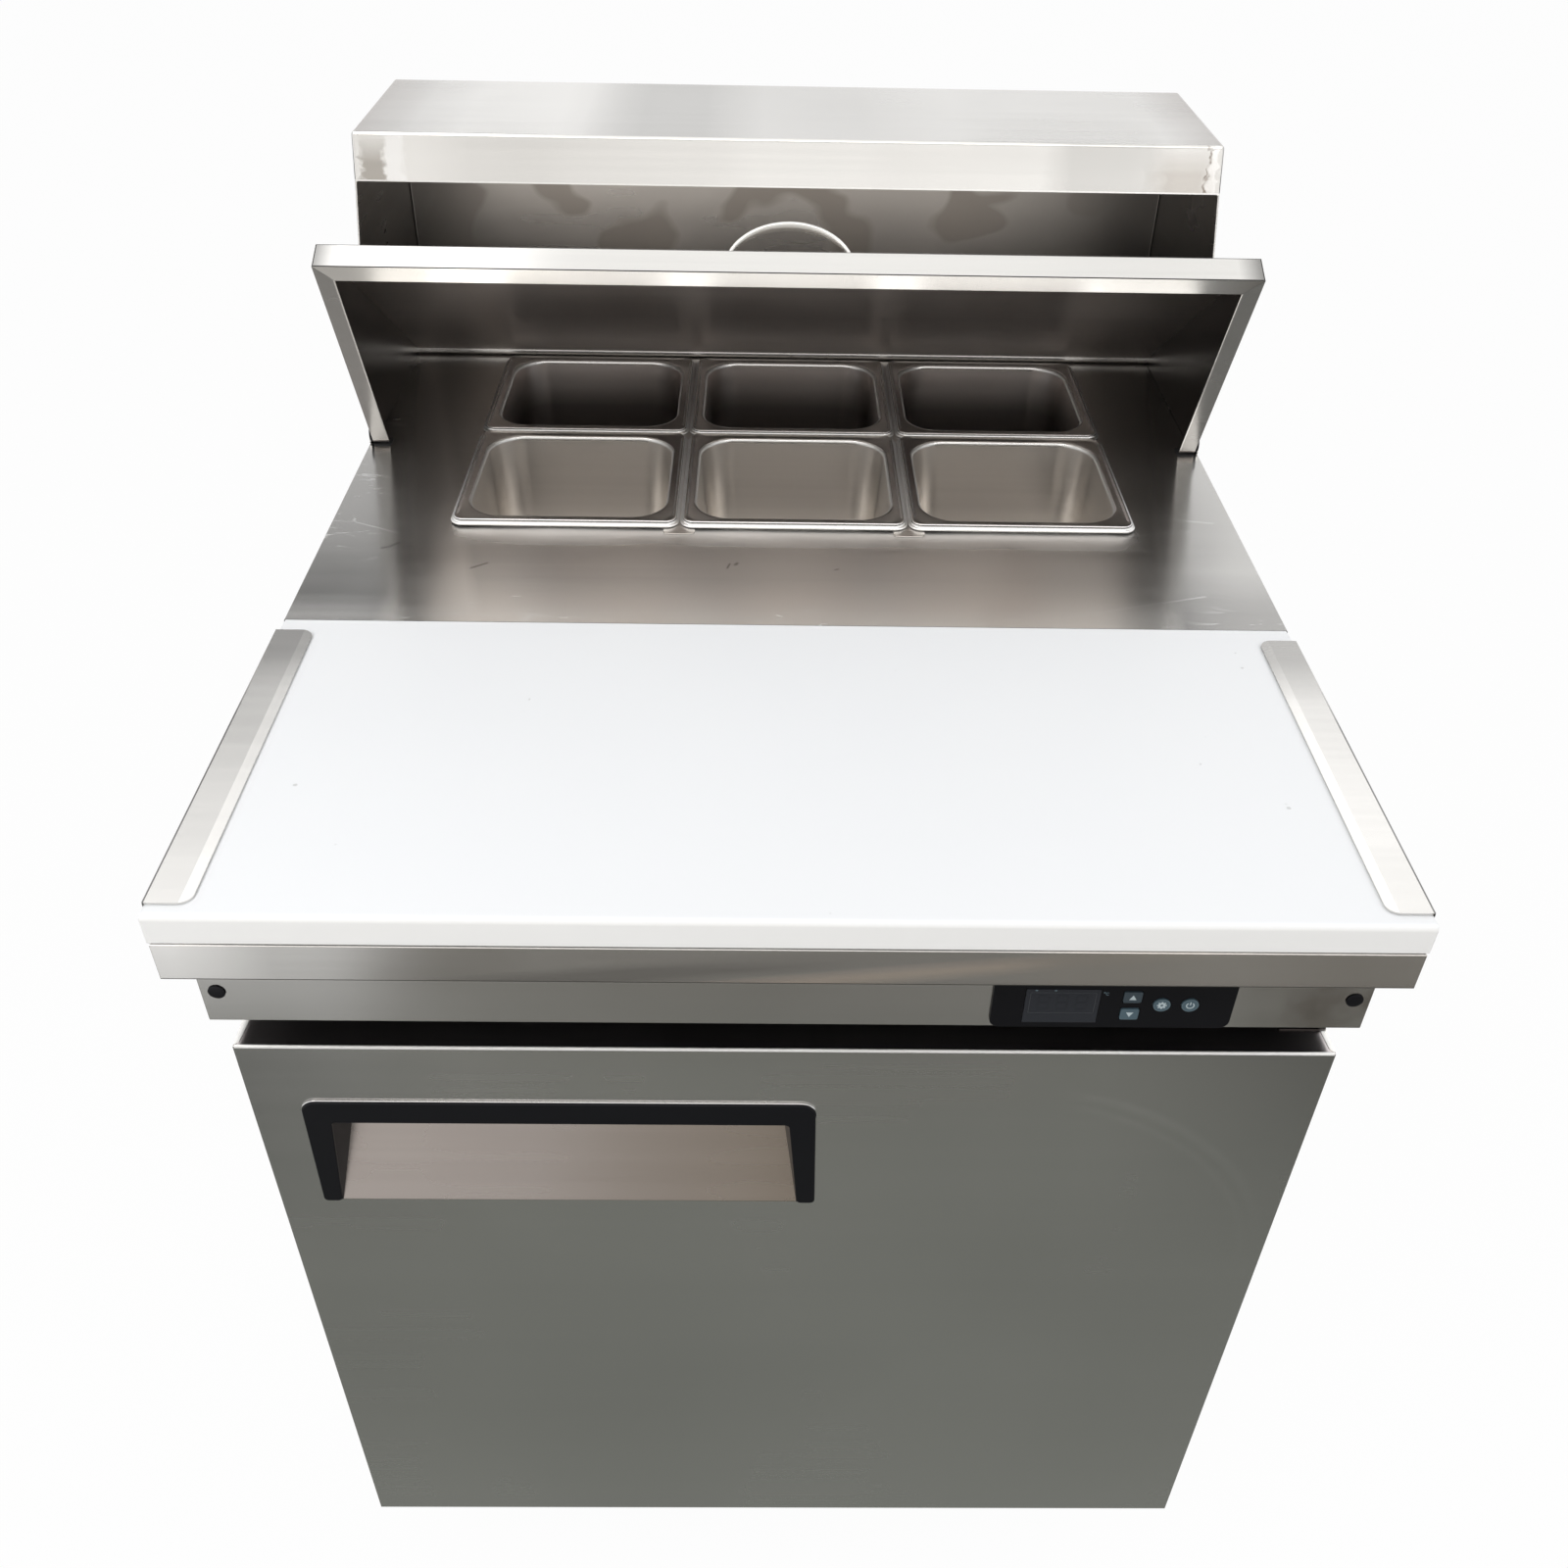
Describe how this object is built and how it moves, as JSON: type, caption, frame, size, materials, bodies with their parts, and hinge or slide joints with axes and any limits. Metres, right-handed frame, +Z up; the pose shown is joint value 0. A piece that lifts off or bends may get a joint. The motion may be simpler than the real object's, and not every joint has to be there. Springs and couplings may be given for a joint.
{
  "type": "sandwich prep table",
  "caption": "Refrigerated sandwich prep table with food pans under a tilting lid and hood, a sliding cutting board, one door and casters.",
  "frame": {"origin": "on the floor under the middle of the box round the table", "axes": "+X to the right and +Y to the back as seen by the person working at the board, +Z up"},
  "size_m": [0.7, 0.842, 1.124],
  "materials": {
    "stainless": "brushed stainless sheet",
    "pan_steel": "satin stainless",
    "chrome": "bright plated",
    "zinc": "zinc plated",
    "aluminium": "stucco sheet",
    "board": "white polyethylene",
    "black_plastic": "moulded black",
    "display": "smoked window",
    "keys": "soft-touch keys",
    "gasket": "magnetic door seal",
    "white_plastic": "moulded white",
    "black_paint": "black enamel",
    "tyre": "grey rubber tread"
  },
  "bodies": {
    "cabinet": {"outer_shell": "stainless", "rear_grille": "stainless", "deck": "stainless", "hood": "stainless", "board_shelf": "stainless", "guard_left": "stainless", "guard_right": "stainless", "fascia": "stainless", "pan_rear_left": "pan_steel", "pan_rear_middle": "pan_steel", "pan_rear_right": "pan_steel", "adapter_bar_left": "pan_steel", "adapter_bar_right": "pan_steel", "wire_shelf": "chrome", "machine_bulkhead": "zinc", "lid_pivot_left": "zinc", "lid_pivot_right": "zinc", "hinge_top": "zinc", "hinge_bottom": "zinc", "caster_front_left_plate": "zinc", "caster_front_right_plate": "zinc", "caster_rear_left_plate": "zinc", "caster_rear_right_plate": "zinc", "inner_liner": "aluminium", "condenser": "aluminium", "cord_gland": "black_plastic", "fascia_plug_left": "black_plastic", "fascia_plug_right": "black_plastic", "control_panel": "black_plastic", "display_window": "display", "evaporator_cover": "white_plastic", "compressor": "black_paint"},
    "lid": {"lid_shell": "stainless", "lid_handle": "chrome"},
    "door": {"door_skin": "stainless", "door_liner": "white_plastic", "door_gasket": "gasket", "handle_bezel": "black_plastic", "handle_plate": "stainless"},
    "board": {"cutting_board": "board"},
    "front_left_pan": {"pan_front_left": "pan_steel"},
    "front_middle_pan": {"pan_front_middle": "pan_steel"},
    "front_right_pan": {"pan_front_right": "pan_steel"},
    "up_key": {"key_up": "keys"},
    "down_key": {"key_down": "keys"},
    "settings_key": {"key_settings": "keys"},
    "power_key": {"key_power": "keys"},
    "evaporator_rotor": {"evaporator_fan": "black_plastic"},
    "condenser_rotor": {"condenser_fan": "black_plastic"},
    "front_left_fork": {"caster_front_left_fork": "zinc"},
    "front_left_wheel": {"caster_front_left_wheel": "tyre"},
    "front_left_pedal": {"caster_front_left_pedal": "zinc"},
    "front_right_fork": {"caster_front_right_fork": "zinc"},
    "front_right_wheel": {"caster_front_right_wheel": "tyre"},
    "front_right_pedal": {"caster_front_right_pedal": "zinc"},
    "rear_left_fork": {"caster_rear_left_fork": "zinc"},
    "rear_left_wheel": {"caster_rear_left_wheel": "tyre"},
    "rear_right_fork": {"caster_rear_right_fork": "zinc"},
    "rear_right_wheel": {"caster_rear_right_wheel": "tyre"}
  },
  "joints": [
    {"name": "lid_hinge", "type": "hinge", "parent": "cabinet", "child": "lid", "pos_m": [0, 0.1601, 0.9086], "axis": [-1, 0, 0], "range_deg": [-65, 0]},
    {"name": "door_hinge", "type": "hinge", "parent": "cabinet", "child": "door", "pos_m": [0.327, -0.3536, 0.45], "axis": [0, 0, 1], "range_deg": [0, 110]},
    {"name": "board_slide", "type": "slide", "parent": "cabinet", "child": "board", "axis": [0, -1, 0], "range_m": [0, 0.26]},
    {"name": "front_left_pan_lift", "type": "slide", "parent": "cabinet", "child": "front_left_pan", "axis": [0, 0, 1], "range_m": [0, 0.11]},
    {"name": "front_middle_pan_lift", "type": "slide", "parent": "cabinet", "child": "front_middle_pan", "axis": [0, 0, 1], "range_m": [0, 0.11]},
    {"name": "front_right_pan_lift", "type": "slide", "parent": "cabinet", "child": "front_right_pan", "axis": [0, 0, 1], "range_m": [0, 0.11]},
    {"name": "up_key_travel", "type": "slide", "parent": "cabinet", "child": "up_key", "axis": [0, 1, 0], "range_m": [0, 0.0005], "stiffness_N_per_m": 700},
    {"name": "down_key_travel", "type": "slide", "parent": "cabinet", "child": "down_key", "axis": [0, 1, 0], "range_m": [0, 0.0005], "stiffness_N_per_m": 700},
    {"name": "settings_key_travel", "type": "slide", "parent": "cabinet", "child": "settings_key", "axis": [0, 1, 0], "range_m": [0, 0.0005], "stiffness_N_per_m": 700},
    {"name": "power_key_travel", "type": "slide", "parent": "cabinet", "child": "power_key", "axis": [0, 1, 0], "range_m": [0, 0.0005], "stiffness_N_per_m": 700},
    {"name": "evaporator_fan_spin", "type": "hinge", "parent": "cabinet", "child": "evaporator_rotor", "pos_m": [0, 0.3475, 0.66], "axis": [0, 1, 0], "continuous": true},
    {"name": "condenser_fan_spin", "type": "hinge", "parent": "cabinet", "child": "condenser_rotor", "pos_m": [0.13, 0.38, 0.26], "axis": [0, 1, 0], "continuous": true},
    {"name": "front_left_swivel", "type": "hinge", "parent": "cabinet", "child": "front_left_fork", "pos_m": [-0.29, -0.245, 0.12], "axis": [0, 0, 1], "continuous": true},
    {"name": "front_left_wheel_spin", "type": "hinge", "parent": "front_left_fork", "child": "front_left_wheel", "pos_m": [-0.29, -0.217, 0.05], "axis": [1, 0, 0], "continuous": true},
    {"name": "front_left_brake", "type": "hinge", "parent": "front_left_fork", "child": "front_left_pedal", "pos_m": [-0.29, -0.211, 0.106], "axis": [-1, 0, 0], "range_deg": [0, 10]},
    {"name": "front_right_swivel", "type": "hinge", "parent": "cabinet", "child": "front_right_fork", "pos_m": [0.29, -0.245, 0.12], "axis": [0, 0, 1], "continuous": true},
    {"name": "front_right_wheel_spin", "type": "hinge", "parent": "front_right_fork", "child": "front_right_wheel", "pos_m": [0.29, -0.217, 0.05], "axis": [1, 0, 0], "continuous": true},
    {"name": "front_right_brake", "type": "hinge", "parent": "front_right_fork", "child": "front_right_pedal", "pos_m": [0.29, -0.211, 0.106], "axis": [-1, 0, 0], "range_deg": [0, 10]},
    {"name": "rear_left_swivel", "type": "hinge", "parent": "cabinet", "child": "rear_left_fork", "pos_m": [-0.29, 0.335, 0.12], "axis": [0, 0, 1], "continuous": true},
    {"name": "rear_left_wheel_spin", "type": "hinge", "parent": "rear_left_fork", "child": "rear_left_wheel", "pos_m": [-0.29, 0.363, 0.05], "axis": [1, 0, 0], "continuous": true},
    {"name": "rear_right_swivel", "type": "hinge", "parent": "cabinet", "child": "rear_right_fork", "pos_m": [0.29, 0.335, 0.12], "axis": [0, 0, 1], "continuous": true},
    {"name": "rear_right_wheel_spin", "type": "hinge", "parent": "rear_right_fork", "child": "rear_right_wheel", "pos_m": [0.29, 0.363, 0.05], "axis": [1, 0, 0], "continuous": true}
  ]
}
